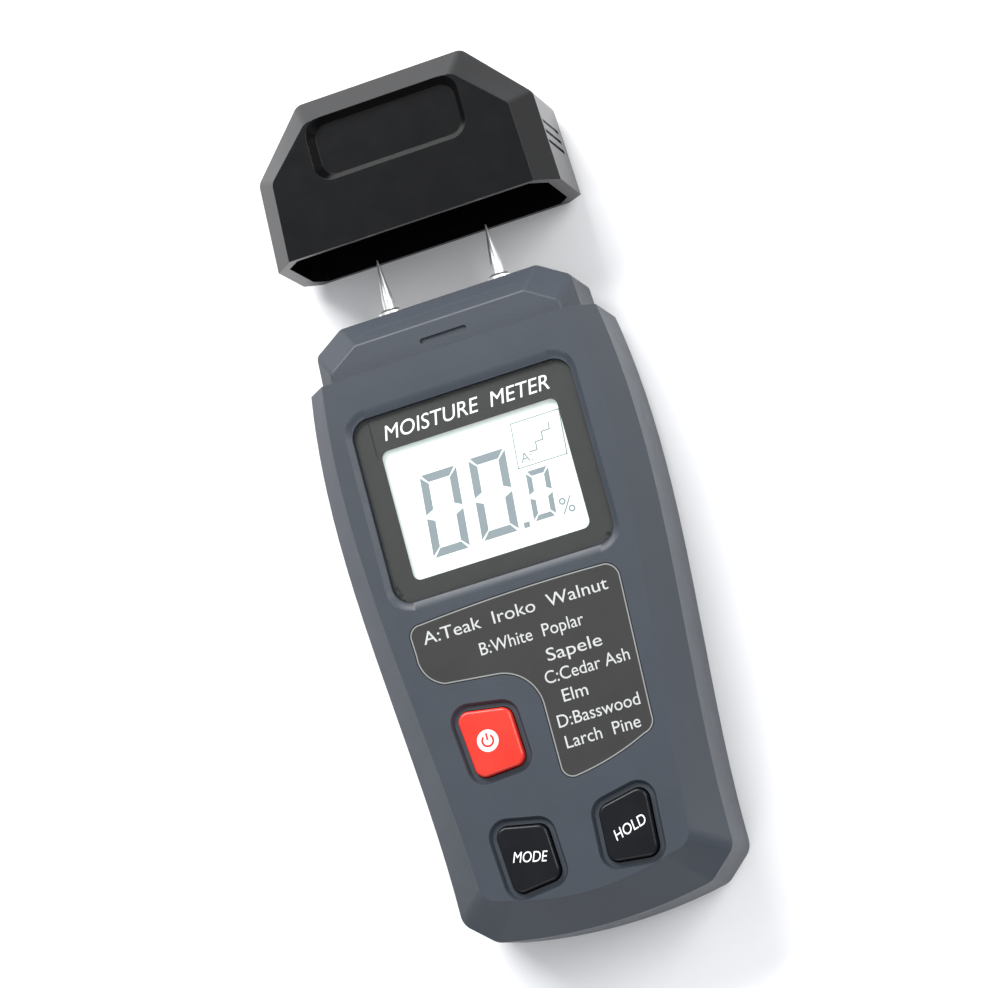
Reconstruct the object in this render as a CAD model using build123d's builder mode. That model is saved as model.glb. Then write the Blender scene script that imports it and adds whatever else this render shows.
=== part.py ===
"""Two-pin moisture meter with its pull-off cap.

Millimetres. X runs across the meter, Y along it towards the pins, Z out of the front.
The meter lies on the flat back of its casing, at Z = 0. The cap stands just clear of the pins.
"""

import os

from build123d import *

# ---- Casing ----
body_length = 124.5  # shoulder to bottom end
body_thickness = 27.0
shoulder_half = 32.35  # half widths of the convex sides, from the shoulder down
widest_half = 34.5
waist_half = 31.5
foot_half = 29.75
foot_corner_width = 6.3
foot_corner_length = 8.0
foot_bow = 2.4
foot_radius = 4.0
front_bevel_drop = 6.0  # how far the front bevels fall towards the sides
back_bevel = 3.5
front_shoulder_run = 4.5  # how far the front flat stands in from the sides
front_widest_run = 5.0
front_waist_run = 5.8
front_foot_run = 7.0
head_edge_radius = 0.9
edge_band = 0.4  # narrow band that softens the edge of the front
wall = 2.0
front_wall = 2.2
parting_height = body_thickness / 2

# ---- Head that the cap fits ----
head_half = 29.5
head_length = 12.0
head_front_drop = 1.75  # head front and back stand in from the body front and back
head_bevel_drop = 4.2
head_corner_width = 7.2
head_corner_length = 4.2
head_front_run = 3.2
head_top_run = 5.4
detent_length = 10.5
detent_width = 1.2
detent_depth = 0.5
detent_from_shoulder = 3.0

# ---- Pins ----
pin_spacing = 25.0
pin_diameter = 2.6
pin_tip_diameter = 0.3
pin_reach = 11.5  # from the collar to the tip
pin_point_length = 9.0
collar_diameter = 5.4
collar_reach = 2.3
collar_depth = 1.6
socket_diameter = 6.0
socket_length = 9.0
pin_bore_clearance = 0.1
socket_clearance = 0.05

# ---- Display ----
lens_width = 49.0
lens_height = 40.2
lens_from_shoulder = 9.4
lens_thickness = 1.0
lens_radius = 4.0
lens_sunk = 0.8
bezel_margin_side = 1.4
bezel_margin_end = 2.1
mask_thickness = 0.1
mask_side = 4.85  # printed band of the window, from the lens edge in
mask_top = 7.7
mask_bottom = 4.2
view_radius = 1.6
seat_thickness = 0.9
lcd_margin_side = 3.2
lcd_margin_end = 3.4
lcd_thickness = 1.8
reflector_thickness = 0.4
lcd_frame_wall = 1.2
zebra_width = 2.0

# ---- Keys ----
key_travel = 0.7
key_proud = 0.5
key_gap = 0.25
key_corner = 2.2
key_flange = 0.9
key_flange_thickness = 1.0
key_recess_depth = 1.0
key_recess_margin = 1.7
key_places = {  # x and distance above the bottom end
    "power": (-12.8, 42.4),
    "mode": (-11.4, 17.5),
    "hold": (11.4, 17.5),
}
power_corners = [(-5.5, 7.5), (6.1, 5.6), (6.7, -6.5), (-4.1, -7.2)]
mode_corners = [(-5.3, 7.4), (5.7, 5.2), (6.3, -6.2), (-4.3, -7.4)]
hold_corners = [(-x, y) for x, y in mode_corners]
disc_diameter = 4.6
disc_thickness = 0.3

# ---- Circuit board ----
board_thickness = 1.0
board_below_front = 5.6
board_edge_gap = 4.6  # board edge to the inside of the casing
board_end_gap = 9.5
switch_size = 6.0
switch_height = 1.2
plunger_diameter = 3.4
plunger_bore_clearance = 0.2
board_screw_x = (21.5, 19.0)
board_screw_from_lens = 6.4
board_screw_above_foot = 30.0
board_screw_diameter = 2.0
board_post_diameter = 4.6

# ---- Battery bay in the back ----
battery_length = 48.5
battery_width = 26.5
battery_height = 17.5
battery_foot_gap = 4.2
battery_floor_gap = 0.5
terminal_length = 3.0
terminal_diameter = 5.6
terminal_spacing = 12.7
snap_thickness = 4.0
lead_diameter = 1.2
lead_radius = 3.0
bay_gap = 1.0
bay_wall = 1.2
bay_end_height = 7.0
bay_top_gap = 0.5
door_thickness = 1.9
door_side_margin = 1.15  # door beyond the side of the battery
door_tongue = 1.4
door_tongue_thickness = 0.75
door_length = 56.0
door_gap = 0.15

# ---- Casing screws ----
case_screw_side = 5.15  # from the outline at the shoulder, and 1 mm more at the foot
case_screw_top = 7.5
case_screw_foot = 12.0
case_screw_diameter = 2.6
case_screw_head = 4.6
case_screw_head_depth = 2.4
case_boss_diameter = 5.6
case_screw_end = 4.6  # tip of the screws behind the front

# ---- Labels ----
label_depth = 0.3
label_gap = 0.12
label_from_shoulder = 53.8
label_above_foot = 30.1
rating_width = 34.0
rating_height = 24.0
rating_from_shoulder = 32.0

# ---- Cap ----
cap_length = 34.0
cap_clearance = 0.3
cap_end_wall = 2.4
cap_side_length = 20.0  # straight side, before the cut corner
cap_side_taper = 0.8
cap_end_half = 19.0
cap_front_wall = 2.6
cap_recess_half = 17.4
cap_recess_depth = 2.4
cap_recess_past_head = 2.2
cap_recess_from_end = 5.6
cap_off_gap = 2.2  # mouth of the cap beyond the pin points
groove_count = 3
groove_pitch = 2.3
groove_width = 0.8
groove_depth = 0.5
groove_length = 13.0
groove_start = 9.0

# ---- Worked-out levels ----
shoulder_y = body_length / 2
foot_y = -body_length / 2
head_y = shoulder_y + head_length
front_level = body_thickness
board_top = body_thickness - board_below_front
battery_floor = door_thickness + battery_floor_gap
case_screw_length = body_thickness - case_screw_end - case_screw_head_depth
cap_off = head_length + collar_reach + pin_reach + cap_off_gap
crease_level = body_thickness - front_bevel_drop
inner_front = body_thickness - front_wall
head_front = body_thickness - head_front_drop
head_back = head_front_drop
lens_top = front_level - lens_sunk
seat_top = lens_top - lens_thickness - mask_thickness
seat_bottom = seat_top - seat_thickness
board_bottom = board_top - board_thickness
flange_top = inner_front - key_gap
flange_bottom = flange_top - key_flange_thickness
battery_top_y = foot_y + wall + battery_foot_gap + battery_length
battery_foot_y = battery_top_y - battery_length
battery_mid_z = battery_floor + battery_height / 2
lens_mid_y = shoulder_y - lens_from_shoulder - lens_height / 2
view_width = lens_width - 2 * mask_side
view_height = lens_height - mask_top - mask_bottom
view_mid_y = shoulder_y - lens_from_shoulder - mask_top - view_height / 2
door_half = battery_width / 2 + door_side_margin
board_end_y = shoulder_y - wall - 1.0
snap_top_y = battery_top_y + terminal_length + 1.0
cap_mouth_y = shoulder_y + cap_off
pin_x = (-pin_spacing / 2, pin_spacing / 2)
pin_level = parting_height

os.makedirs("parts", exist_ok=True)


def write(shape, name):
    """Label a finished piece and write it under its own name."""
    shape.label = name
    export_step(shape, f"parts/{name}.step")


def key_point(name):
    """Centre of a key on the front."""
    x, above = key_places[name]
    return x, foot_y + above


def casing_outline(level, runs=(0, 0, 0, 0), inset=0.0):
    """Barrel outline of the casing at a level; runs pull in its sides, inset its whole edge."""
    top = shoulder_y
    bottom = foot_y + inset + runs[3]
    halves = (shoulder_half, widest_half, waist_half, foot_half)
    half = [width - run - inset for width, run in zip(halves, runs)]
    below = (0.0, 0.24 * body_length, 0.63 * body_length)
    side = [(half[i], top - below[i]) for i in range(3)]
    side.append((half[3], foot_y + foot_corner_length + inset * 0.4 + runs[3] * 0.4))
    corner = (half[3] - foot_corner_width, bottom + foot_bow)
    mirrored = [(-x, y) for x, y in reversed(side)]
    with BuildSketch(Plane.XY.offset(level)) as outline:
        with BuildLine():
            Spline(side)
            Line(side[-1], corner)
            ThreePointArc(corner, (0, bottom), (-corner[0], corner[1]))
            Line((-corner[0], corner[1]), mirrored[0])
            Spline(mirrored)
            Line(mirrored[-1], side[0])
        make_face()
        corners = outline.vertices().group_by(Axis.Y)
        fillet(corners[0] + corners[1], foot_radius)
    return outline.sketch


def head_outline(level, side_run=0.0, end_run=0.0, grow=0.0, base=0.0):
    """Head outline with its two cut corners, from base past the shoulder into the body."""
    low = shoulder_y - base
    half = head_half - side_run + grow
    end = head_y - end_run + grow
    corner_y = end - head_corner_length
    corner_x = half - head_corner_width
    points = [(half, low), (half - 0.6, corner_y), (corner_x, end)]
    mirrored = [(-x, y) for x, y in reversed(points)]
    with BuildSketch(Plane.XY.offset(level)) as outline:
        with BuildLine():
            Polyline(points + mirrored, close=True)
        make_face()
        upper = outline.vertices().group_by(Axis.Y)
        fillet(upper[-1] + upper[-2], 1.6)
    return outline.sketch


def cap_outline(level, run=0.0, end_run=0.0):
    """Cap outline with its two far corners cut, seen from the front."""
    half = shoulder_half - run
    points = [
        (half, cap_mouth_y),
        (half - cap_side_taper, cap_mouth_y + cap_side_length - 0.4 * end_run),
        (cap_end_half - 0.5 * run, cap_mouth_y + cap_length - end_run),
    ]
    mirrored = [(-x, y) for x, y in reversed(points)]
    with BuildSketch(Plane.XY.offset(level)) as outline:
        with BuildLine():
            Polyline(points + mirrored, close=True)
        make_face()
        upper = outline.vertices().group_by(Axis.Y)
        fillet(upper[-1] + upper[-2], 2.6)
    return outline.sketch


def key_outline(level, name, corners, grow=0.0):
    """Four-cornered key outline at a level, grown all round."""
    x, y = key_point(name)
    with BuildSketch(Plane.XY.offset(level)) as outline:
        with BuildLine():
            Polyline([(x + a, y + b) for a, b in corners], close=True)
        make_face()
        fillet(outline.vertices(), key_corner)
        if grow:
            offset(amount=grow)
    return outline.sketch


def plate(level, thickness, width, height, middle_y, radius):
    """Flat plate with rounded corners, centred across the meter."""
    with BuildPart() as flat:
        with BuildSketch(Plane.XY.offset(level)):
            with Locations((0, middle_y)):
                RectangleRounded(width, height, radius)
        extrude(amount=thickness)
    return flat.part


def label_outline(level, grow=0.0):
    """L-shaped legend outline under the display that leaves the power key's corner free."""
    top = shoulder_y - label_from_shoulder
    low = foot_y + label_above_foot
    with BuildSketch(Plane.XY.offset(level)) as outline:
        with BuildLine():
            ThreePointArc((-20.6, top - 0.8), (0.5, top + 0.2), (20.6, top))
            ThreePointArc((20.6, top), (22.4, top - 1.1), (23.2, top - 3.7))
            Line((23.2, top - 3.7), (21.9, low + 7.8))
            ThreePointArc((21.9, low + 7.8), (21.2, low + 5.4), (19.4, low + 4.4))
            ThreePointArc((19.4, low + 4.4), (11.5, low + 1.6), (3.2, low))
            ThreePointArc((3.2, low), (1.2, low + 0.8), (0.4, low + 2.6))
            Line((0.4, low + 2.6), (0.4, low + 15.9))
            ThreePointArc((0.4, low + 15.9), (-1.7, low + 21.8), (-7.0, low + 24.8))
            Line((-7.0, low + 24.8), (-18.6, low + 26.1))
            ThreePointArc((-18.6, low + 26.1), (-22.2, low + 29.0), (-23.2, low + 33.4))
            Line((-23.2, low + 33.4), (-23.4, top - 3.2))
            ThreePointArc((-23.4, top - 3.2), (-22.6, top - 1.5), (-20.6, top - 0.8))
        make_face()
        if grow:
            offset(amount=grow)
    return outline.sketch


front_runs = (front_shoulder_run, front_widest_run, front_waist_run, front_foot_run)
back_runs = (back_bevel, back_bevel, back_bevel, back_bevel)
room_runs = (front_shoulder_run, front_widest_run, front_waist_run, front_foot_run - 2.0)

# ---- Outer form of the closed casing, body and head in one ----
with BuildPart() as body_form:
    loft(sections=[casing_outline(0, back_runs), casing_outline(back_bevel)], ruled=True)
    extrude(casing_outline(back_bevel), amount=crease_level - back_bevel)
    band_level = front_level - edge_band
    band_runs = [run - edge_band for run in front_runs]
    loft(sections=[casing_outline(crease_level), casing_outline(band_level, band_runs)], ruled=True)
    front_face = casing_outline(front_level, front_runs)
    loft(sections=[casing_outline(band_level, band_runs), front_face], ruled=True)

with BuildPart() as head_form:
    back_level = head_back + back_bevel
    bevel_level = head_front - head_bevel_drop
    loft(sections=[head_outline(head_back, 2.4, 3.0, base=4), head_outline(back_level, base=4)], ruled=True)
    extrude(head_outline(back_level, base=4), amount=bevel_level - back_level)
    front_face = head_outline(head_front, head_front_run, head_top_run, base=4)
    loft(sections=[head_outline(bevel_level, base=4), front_face], ruled=True)
    top_edges = head_form.faces().sort_by(Axis.Z)[-1].edges()
    fillet(top_edges, head_edge_radius)

with BuildPart() as body_room:
    low = wall + back_bevel
    loft(sections=[casing_outline(wall, back_runs, wall), casing_outline(low, inset=wall)], ruled=True)
    high = crease_level - 0.8
    extrude(casing_outline(low, inset=wall), amount=high - low)
    loft(sections=[casing_outline(high, inset=wall), casing_outline(inner_front, room_runs, 1.6)], ruled=True)
    with Locations((0, shoulder_y + wall / 2, 0)):
        Box(4 * widest_half, 3 * wall, 4 * body_thickness, mode=Mode.SUBTRACT)

with BuildPart() as head_room:
    with BuildSketch(Plane.XY.offset(head_back + back_bevel)):
        with BuildLine():
            inner_half = head_half - wall - 1.4
            inner_end = head_y - wall
            inner_base = shoulder_y - 2 * wall
            inner_points = [(inner_half, inner_base), (inner_half, inner_end - 4.4), (20.5, inner_end)]
            inner_mirror = [(-x, y) for x, y in reversed(inner_points)]
            Polyline(inner_points + inner_mirror, close=True)
        make_face()
    extrude(amount=head_front - head_bevel_drop - wall - head_back - back_bevel + 1.6)

# ---- Ribs, bosses and posts that stand inside the casing ----
upper_boss = (shoulder_half - case_screw_side, shoulder_y - case_screw_top)
lower_boss = (foot_half - case_screw_side - 1.0, foot_y + case_screw_foot)
boss_places = [(side * x, y) for x, y in (upper_boss, lower_boss) for side in (-1, 1)]
post_levels = (lens_mid_y - lens_height / 2 - board_screw_from_lens, foot_y + board_screw_above_foot)
post_places = [(side * x, y) for x, y in zip(board_screw_x, post_levels) for side in (-1, 1)]

with BuildPart() as bosses:
    with BuildSketch():
        with Locations(boss_places):
            Circle(case_boss_diameter / 2)
    extrude(amount=body_thickness)
    add(body_form.part, mode=Mode.INTERSECT)

with BuildPart() as board_posts:
    with BuildSketch(Plane.XY.offset(board_top)):
        with Locations(post_places):
            Circle(board_post_diameter / 2)
    extrude(amount=inner_front - board_top + 0.5)

bay_half = battery_width / 2 + bay_gap
bay_end_y = snap_top_y + 1.5
with BuildPart() as bay:
    for side in (-1, 1):
        with BuildSketch(Plane.XY.offset(wall)):
            middle = (foot_y + wall + bay_end_y) / 2
            with Locations((side * (bay_half + bay_wall / 2), middle)):
                Rectangle(bay_wall, bay_end_y - foot_y - wall + 1.0)
        extrude(amount=parting_height - bay_top_gap - wall)
    with BuildSketch(Plane.XY.offset(wall - 0.5)):
        with Locations((0, bay_end_y + bay_wall / 2)):
            Rectangle(2 * (bay_half + bay_wall), bay_wall)
    extrude(amount=bay_end_height)
    add(body_form.part, mode=Mode.INTERSECT)

socket_end_y = head_y - wall
with BuildPart() as socket_ribs:
    for rib_y in (socket_end_y - 1.5, socket_end_y - socket_length + 1.5):
        with BuildSketch(Plane.XY.offset(head_back + 1.0)):
            with Locations((0, rib_y)):
                Rectangle(pin_spacing + socket_diameter + 4.0, 1.6)
        extrude(amount=head_front - head_back - 3.0)

# ---- Closed casing with everything cut that both shells share ----
with BuildPart() as casing:
    add(body_form.part)
    add(head_form.part)
    add(body_room.part, mode=Mode.SUBTRACT)
    add(head_room.part, mode=Mode.SUBTRACT)
    add(bosses.part)
    add(socket_ribs.part)
    for x in pin_x:
        with BuildSketch(Plane.XZ.offset(-head_y - 1)):
            with Locations((x, pin_level)):
                Circle(collar_diameter / 2 + pin_bore_clearance)
        extrude(amount=collar_depth + 1, mode=Mode.SUBTRACT)
        with BuildSketch(Plane.XZ.offset(-head_y - 1)):
            with Locations((x, pin_level)):
                Circle(pin_diameter / 2 + pin_bore_clearance)
        extrude(amount=wall + 2, mode=Mode.SUBTRACT)
        with BuildSketch(Plane.XZ.offset(-socket_end_y)):
            with Locations((x, pin_level)):
                Circle(socket_diameter / 2 + socket_clearance)
        extrude(amount=socket_length + 8, mode=Mode.SUBTRACT)

# ---- Front shell ----
corner_sets = {"power": power_corners, "mode": mode_corners, "hold": hold_corners}
pad = plate(seat_bottom, inner_front - seat_bottom + 0.3, lens_width + 3, lens_height + 3, lens_mid_y, 3)
recess_width = lens_width + 2 * bezel_margin_side
recess_height = lens_height + 2 * bezel_margin_end
with BuildPart() as front_case:
    add(casing.part)
    split(bisect_by=Plane.XY.offset(parting_height), keep=Keep.TOP)
    add(pad)
    add(board_posts.part)
    recess_top = plate(front_level - 0.01, 0.01, recess_width, recess_height, lens_mid_y, lens_radius + 1.4)
    recess_floor = plate(lens_top, 0.01, lens_width + 0.6, lens_height + 0.6, lens_mid_y, lens_radius + 0.3)
    upper_face = recess_top.faces().sort_by(Axis.Z)[-1]
    lower_face = recess_floor.faces().sort_by(Axis.Z)[0]
    loft(sections=[upper_face, lower_face], ruled=True, mode=Mode.SUBTRACT)
    with BuildSketch(Plane.XY.offset(seat_top)):
        with Locations((0, lens_mid_y)):
            RectangleRounded(lens_width + 0.3, lens_height + 0.3, lens_radius + 0.15)
    extrude(amount=body_thickness, mode=Mode.SUBTRACT)
    with BuildSketch(Plane.XY.offset(seat_bottom - 1)):
        with Locations((0, view_mid_y)):
            RectangleRounded(view_width + 2, view_height + 2, view_radius)
    extrude(amount=4, mode=Mode.SUBTRACT)
    for key_name, key_corners in corner_sets.items():
        mouth = key_outline(front_level, key_name, key_corners, key_recess_margin)
        extrude(mouth, amount=-key_recess_depth, taper=30, mode=Mode.SUBTRACT)
        hole = key_outline(inner_front - 1, key_name, key_corners, key_gap)
        extrude(hole, amount=front_wall + 2, mode=Mode.SUBTRACT)
    extrude(label_outline(front_level - label_depth, label_gap), amount=1, mode=Mode.SUBTRACT)
    with BuildSketch(Plane.XY.offset(head_front - detent_depth)):
        with Locations((0, shoulder_y + detent_from_shoulder)):
            SlotOverall(detent_length, detent_width)
    extrude(amount=detent_depth + 0.2, mode=Mode.SUBTRACT)
    with BuildSketch(Plane.XY.offset(board_top - 1)):
        with Locations(post_places):
            Circle(board_screw_diameter / 2)
    extrude(amount=3.4, mode=Mode.SUBTRACT)
    with BuildSketch(Plane.XY.offset(parting_height - 1)):
        with Locations(boss_places):
            Circle(case_screw_diameter / 2)
    extrude(amount=body_thickness - case_screw_end - parting_height + 1, mode=Mode.SUBTRACT)
write(front_case.part, "front_case")

# ---- Battery door, cut out of the back so that its outside follows the casing ----
door_top_y = foot_y + door_length
with BuildPart() as door_block:
    with BuildSketch():
        with Locations((0, foot_y + door_length / 2)):
            Rectangle(2 * door_half, door_length)
    extrude(amount=door_thickness)
    add(body_form.part, mode=Mode.INTERSECT)
tongue_level = door_thickness - door_tongue_thickness
with BuildPart() as battery_door:
    add(door_block.part)
    with BuildSketch(Plane.XY.offset(tongue_level)):
        with Locations((0, door_top_y - door_length / 2 + 3.0)):
            Rectangle(2 * (door_half + door_tongue), door_length - 6.0)
    extrude(amount=door_tongue_thickness)
    with GridLocations(0, 2.2, 1, 5):
        with Locations((0, foot_y + 14, 0)):
            Box(14, 0.9, 0.6, mode=Mode.SUBTRACT)
write(battery_door.part, "battery_door")

# ---- Back shell ----
with BuildPart() as back_case:
    add(casing.part)
    split(bisect_by=Plane.XY.offset(parting_height), keep=Keep.BOTTOM)
    add(bay.part)
    with BuildSketch(Plane.XY.offset(-1)):
        with Locations((0, foot_y + (door_length + door_gap) / 2 - 5)):
            Rectangle(2 * (door_half + door_gap), door_length + door_gap + 10)
    extrude(amount=1 + door_thickness + door_gap, mode=Mode.SUBTRACT)
    with BuildSketch(Plane.XY.offset(tongue_level - door_gap)):
        with Locations((0, foot_y + (door_length + door_gap) / 2 - 5)):
            Rectangle(2 * (door_half + door_tongue + door_gap), door_length + door_gap + 10)
    extrude(amount=door_tongue_thickness + 2 * door_gap, mode=Mode.SUBTRACT)
    with BuildSketch(Plane.XY.offset(-1)):
        with Locations(boss_places):
            Circle(case_screw_diameter / 2)
    extrude(amount=parting_height + 2, mode=Mode.SUBTRACT)
    with BuildSketch(Plane.XY.offset(-1)):
        with Locations(boss_places):
            Circle(case_screw_head / 2 + 0.2)
    extrude(amount=1 + case_screw_head_depth, mode=Mode.SUBTRACT)
    with BuildSketch(Plane.XY.offset(-1)):
        with Locations((0, shoulder_y - rating_from_shoulder)):
            RectangleRounded(rating_width + 2 * label_gap, rating_height + 2 * label_gap, 2)
    extrude(amount=1 + label_depth, mode=Mode.SUBTRACT)
write(back_case.part, "back_case")

# ---- Lens, printed mask and legend label ----
lens = plate(lens_top - lens_thickness, lens_thickness, lens_width, lens_height, lens_mid_y, lens_radius)
with BuildPart() as display_lens:
    add(lens)
    chamfer(display_lens.faces().sort_by(Axis.Z)[-1].edges(), 0.3)
write(display_lens.part, "display_lens")

with BuildPart() as display_mask:
    add(plate(seat_top, mask_thickness, lens_width, lens_height, lens_mid_y, lens_radius))
    with BuildSketch(Plane.XY.offset(seat_top - 1)):
        with Locations((0, view_mid_y)):
            RectangleRounded(view_width, view_height, view_radius)
    extrude(amount=3, mode=Mode.SUBTRACT)
write(display_mask.part, "display_mask")

with BuildPart() as legend_label:
    extrude(label_outline(front_level - label_depth), amount=label_depth - 0.05)
write(legend_label.part, "legend_label")

rating_y = shoulder_y - rating_from_shoulder
rating_plate = plate(0.1, label_depth - 0.1, rating_width, rating_height, rating_y, 2)
write(rating_plate, "rating_plate")

# ---- Display stack, from the lens seat down to the board ----
lcd_width = view_width + 2 * lcd_margin_side
lcd_height = view_height + 2 * lcd_margin_end
lcd_bottom = seat_bottom - lcd_thickness
lcd_glass = plate(lcd_bottom, lcd_thickness, lcd_width, lcd_height, view_mid_y, 0.4)
write(lcd_glass, "lcd_glass")

reflector_height = lcd_height - 2 * zebra_width - 0.6
reflector_level = lcd_bottom - reflector_thickness
reflector = plate(reflector_level, reflector_thickness, lcd_width, reflector_height, view_mid_y, 0.4)
write(reflector, "lcd_reflector")

with BuildPart() as zebra_strips:
    with BuildSketch(Plane.XY.offset(board_top)):
        with Locations((0, view_mid_y)):
            with GridLocations(0, lcd_height - zebra_width, 1, 2):
                Rectangle(lcd_width - 1, zebra_width)
    extrude(amount=lcd_bottom - board_top)
write(zebra_strips.part, "zebra_strips")

frame_gap = 0.1
frame_width = lcd_width + 2 * (frame_gap + lcd_frame_wall)
frame_height = lcd_height + 2 * (frame_gap + lcd_frame_wall)
with BuildPart() as lcd_frame:
    add(plate(board_top, seat_bottom - board_top, frame_width, frame_height, view_mid_y, 1.0))
    with BuildSketch(Plane.XY.offset(board_top - 1)):
        with Locations((0, view_mid_y)):
            Rectangle(lcd_width + 2 * frame_gap, lcd_height + 2 * frame_gap)
    extrude(amount=body_thickness, mode=Mode.SUBTRACT)
write(lcd_frame.part, "lcd_frame")

# ---- Circuit board and what is soldered to it ----
with BuildPart() as main_board:
    extrude(casing_outline(board_bottom, inset=wall + board_edge_gap), amount=board_thickness)
    with Locations((0, shoulder_y, board_top)):
        Box(4 * widest_half, 2 * (shoulder_y - board_end_y), 4 * board_thickness, mode=Mode.SUBTRACT)
    with Locations((0, foot_y, board_top)):
        Box(4 * widest_half, 2 * board_end_gap, 4 * board_thickness, mode=Mode.SUBTRACT)
    with BuildSketch(Plane.XY.offset(board_bottom - 1)):
        with Locations(boss_places):
            Circle(case_boss_diameter / 2 + 0.4)
        with Locations(post_places):
            Circle(board_screw_diameter / 2)
    extrude(amount=4, mode=Mode.SUBTRACT)
write(main_board.part, "main_board")

chip_y = view_mid_y
with BuildPart() as controller_chip:
    with Locations((0, chip_y, board_bottom - 0.8)):
        Box(10, 10, 1.6)
write(controller_chip.part, "controller_chip")

with BuildPart() as board_components:
    with BuildSketch(Plane.XY.offset(board_bottom)):
        with Locations((-14, chip_y), (14, chip_y), (0, chip_y + 14)):
            with GridLocations(4.5, 4.0, 2, 3):
                Rectangle(2.6, 1.5)
    extrude(amount=-1.0)
write(board_components.part, "board_components")

with BuildPart() as tact_switches:
    for key_name in key_places:
        with BuildSketch(Plane.XY.offset(board_top)):
            with Locations(key_point(key_name)):
                Rectangle(switch_size, switch_size)
                Circle(plunger_diameter / 2 + plunger_bore_clearance, mode=Mode.SUBTRACT)
        extrude(amount=switch_height)
write(tact_switches.part, "tact_switches")

# ---- Keys, each with the plunger of the switch it presses ----
plunger_bottom = board_top + key_travel + 0.15
for key_name, key_corners in corner_sets.items():
    with BuildPart() as key:
        extrude(key_outline(flange_bottom, key_name, key_corners, key_flange), amount=key_flange_thickness)
        stem = front_level + key_proud - flange_bottom
        extrude(key_outline(flange_bottom, key_name, key_corners), amount=stem)
        fillet(key.faces().sort_by(Axis.Z)[-1].edges(), 0.7)
        if key_name == "power":
            with BuildSketch(Plane.XY.offset(front_level + key_proud - disc_thickness)):
                with Locations(key_point(key_name)):
                    Circle(disc_diameter / 2 + 0.05)
            extrude(amount=1, mode=Mode.SUBTRACT)
    write(key.part, f"{key_name}_key")
    with BuildPart() as plunger:
        with BuildSketch(Plane.XY.offset(plunger_bottom)):
            with Locations(key_point(key_name)):
                Circle(plunger_diameter / 2)
        extrude(amount=flange_bottom - plunger_bottom)
    write(plunger.part, f"{key_name}_plunger")

with BuildPart() as power_disc:
    with BuildSketch(Plane.XY.offset(front_level + key_proud - disc_thickness)):
        with Locations(key_point("power")):
            Circle(disc_diameter / 2)
    extrude(amount=disc_thickness + 0.05)
write(power_disc.part, "power_disc")

# ---- Pins, their collars, threaded sockets and contact strips ----
collar_start = head_y - collar_depth
collar_end = head_y + collar_reach
pin_end = collar_end + pin_reach
for pin_name, x in zip(("left_pin", "right_pin"), pin_x):
    with BuildPart() as pin:
        with BuildSketch(Plane.XY.offset(pin_level)):
            with BuildLine():
                Polyline(
                    (x, socket_end_y - 6),
                    (x + pin_diameter / 2, socket_end_y - 6),
                    (x + pin_diameter / 2, pin_end - pin_point_length),
                    (x + pin_tip_diameter / 2, pin_end),
                    (x, pin_end),
                    close=True,
                )
            make_face()
        revolve(axis=Axis((x, 0, pin_level), (0, 1, 0)))
    write(pin.part, pin_name)

with BuildPart() as pin_collars:
    for x in pin_x:
        with BuildSketch(Plane.XZ.offset(-collar_end)):
            with Locations((x, pin_level)):
                Circle(collar_diameter / 2)
                Circle(pin_diameter / 2, mode=Mode.SUBTRACT)
        extrude(amount=collar_end - collar_start)
    collar_rims = pin_collars.faces().group_by(Axis.Y)[-1].edges().filter_by(GeomType.CIRCLE)
    chamfer(collar_rims.group_by(SortBy.RADIUS)[-1], 0.5)
write(pin_collars.part, "pin_collars")

with BuildPart() as pin_sockets:
    for x in pin_x:
        with BuildSketch(Plane.XZ.offset(-socket_end_y)):
            with Locations((x, pin_level)):
                Circle(socket_diameter / 2)
        extrude(amount=socket_length)
        with BuildSketch(Plane.XZ.offset(-socket_end_y)):
            with Locations((x, pin_level)):
                Circle(pin_diameter / 2)
        extrude(amount=6, mode=Mode.SUBTRACT)
write(pin_sockets.part, "pin_sockets")

strip_thickness = 0.4
strip_width = 3.0
strip_y = socket_end_y - socket_length
strip_foot = strip_y - board_end_y + 1.0  # reaches 1 mm over the end of the board
with BuildPart() as contact_strips:
    for x in pin_x:
        with Locations((x, strip_y - strip_thickness / 2, (pin_level - 2 + board_bottom) / 2)):
            Box(strip_width, strip_thickness, board_bottom - pin_level + 2)
        with Locations((x, strip_y - strip_foot / 2, board_bottom - strip_thickness / 2)):
            Box(strip_width, strip_foot, strip_thickness)
write(contact_strips.part, "contact_strips")

# ---- Battery, its snap and leads ----
with BuildPart() as battery:
    with BuildSketch(Plane.XZ.offset(-battery_top_y)):
        with Locations((0, battery_mid_z)):
            RectangleRounded(battery_width, battery_height, 2)
    extrude(amount=battery_length)
write(battery.part, "battery")

terminal_places = [(-terminal_spacing / 2, battery_mid_z), (terminal_spacing / 2, battery_mid_z)]
with BuildPart() as battery_terminals:
    with BuildSketch(Plane.XZ.offset(-battery_top_y)):
        with Locations(terminal_places):
            Circle(terminal_diameter / 2)
    extrude(amount=-terminal_length)
write(battery_terminals.part, "battery_terminals")

with BuildPart() as battery_snap:
    with BuildSketch(Plane.XZ.offset(-snap_top_y)):
        with Locations((0, battery_mid_z)):
            RectangleRounded(battery_width - 1, 12, 3)
    extrude(amount=snap_thickness)
    with BuildSketch(Plane.XZ.offset(-battery_top_y + 1)):
        with Locations(terminal_places):
            Circle(terminal_diameter / 2 + 0.1)
    extrude(amount=-terminal_length - 1.2, mode=Mode.SUBTRACT)
write(battery_snap.part, "battery_snap")

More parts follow.
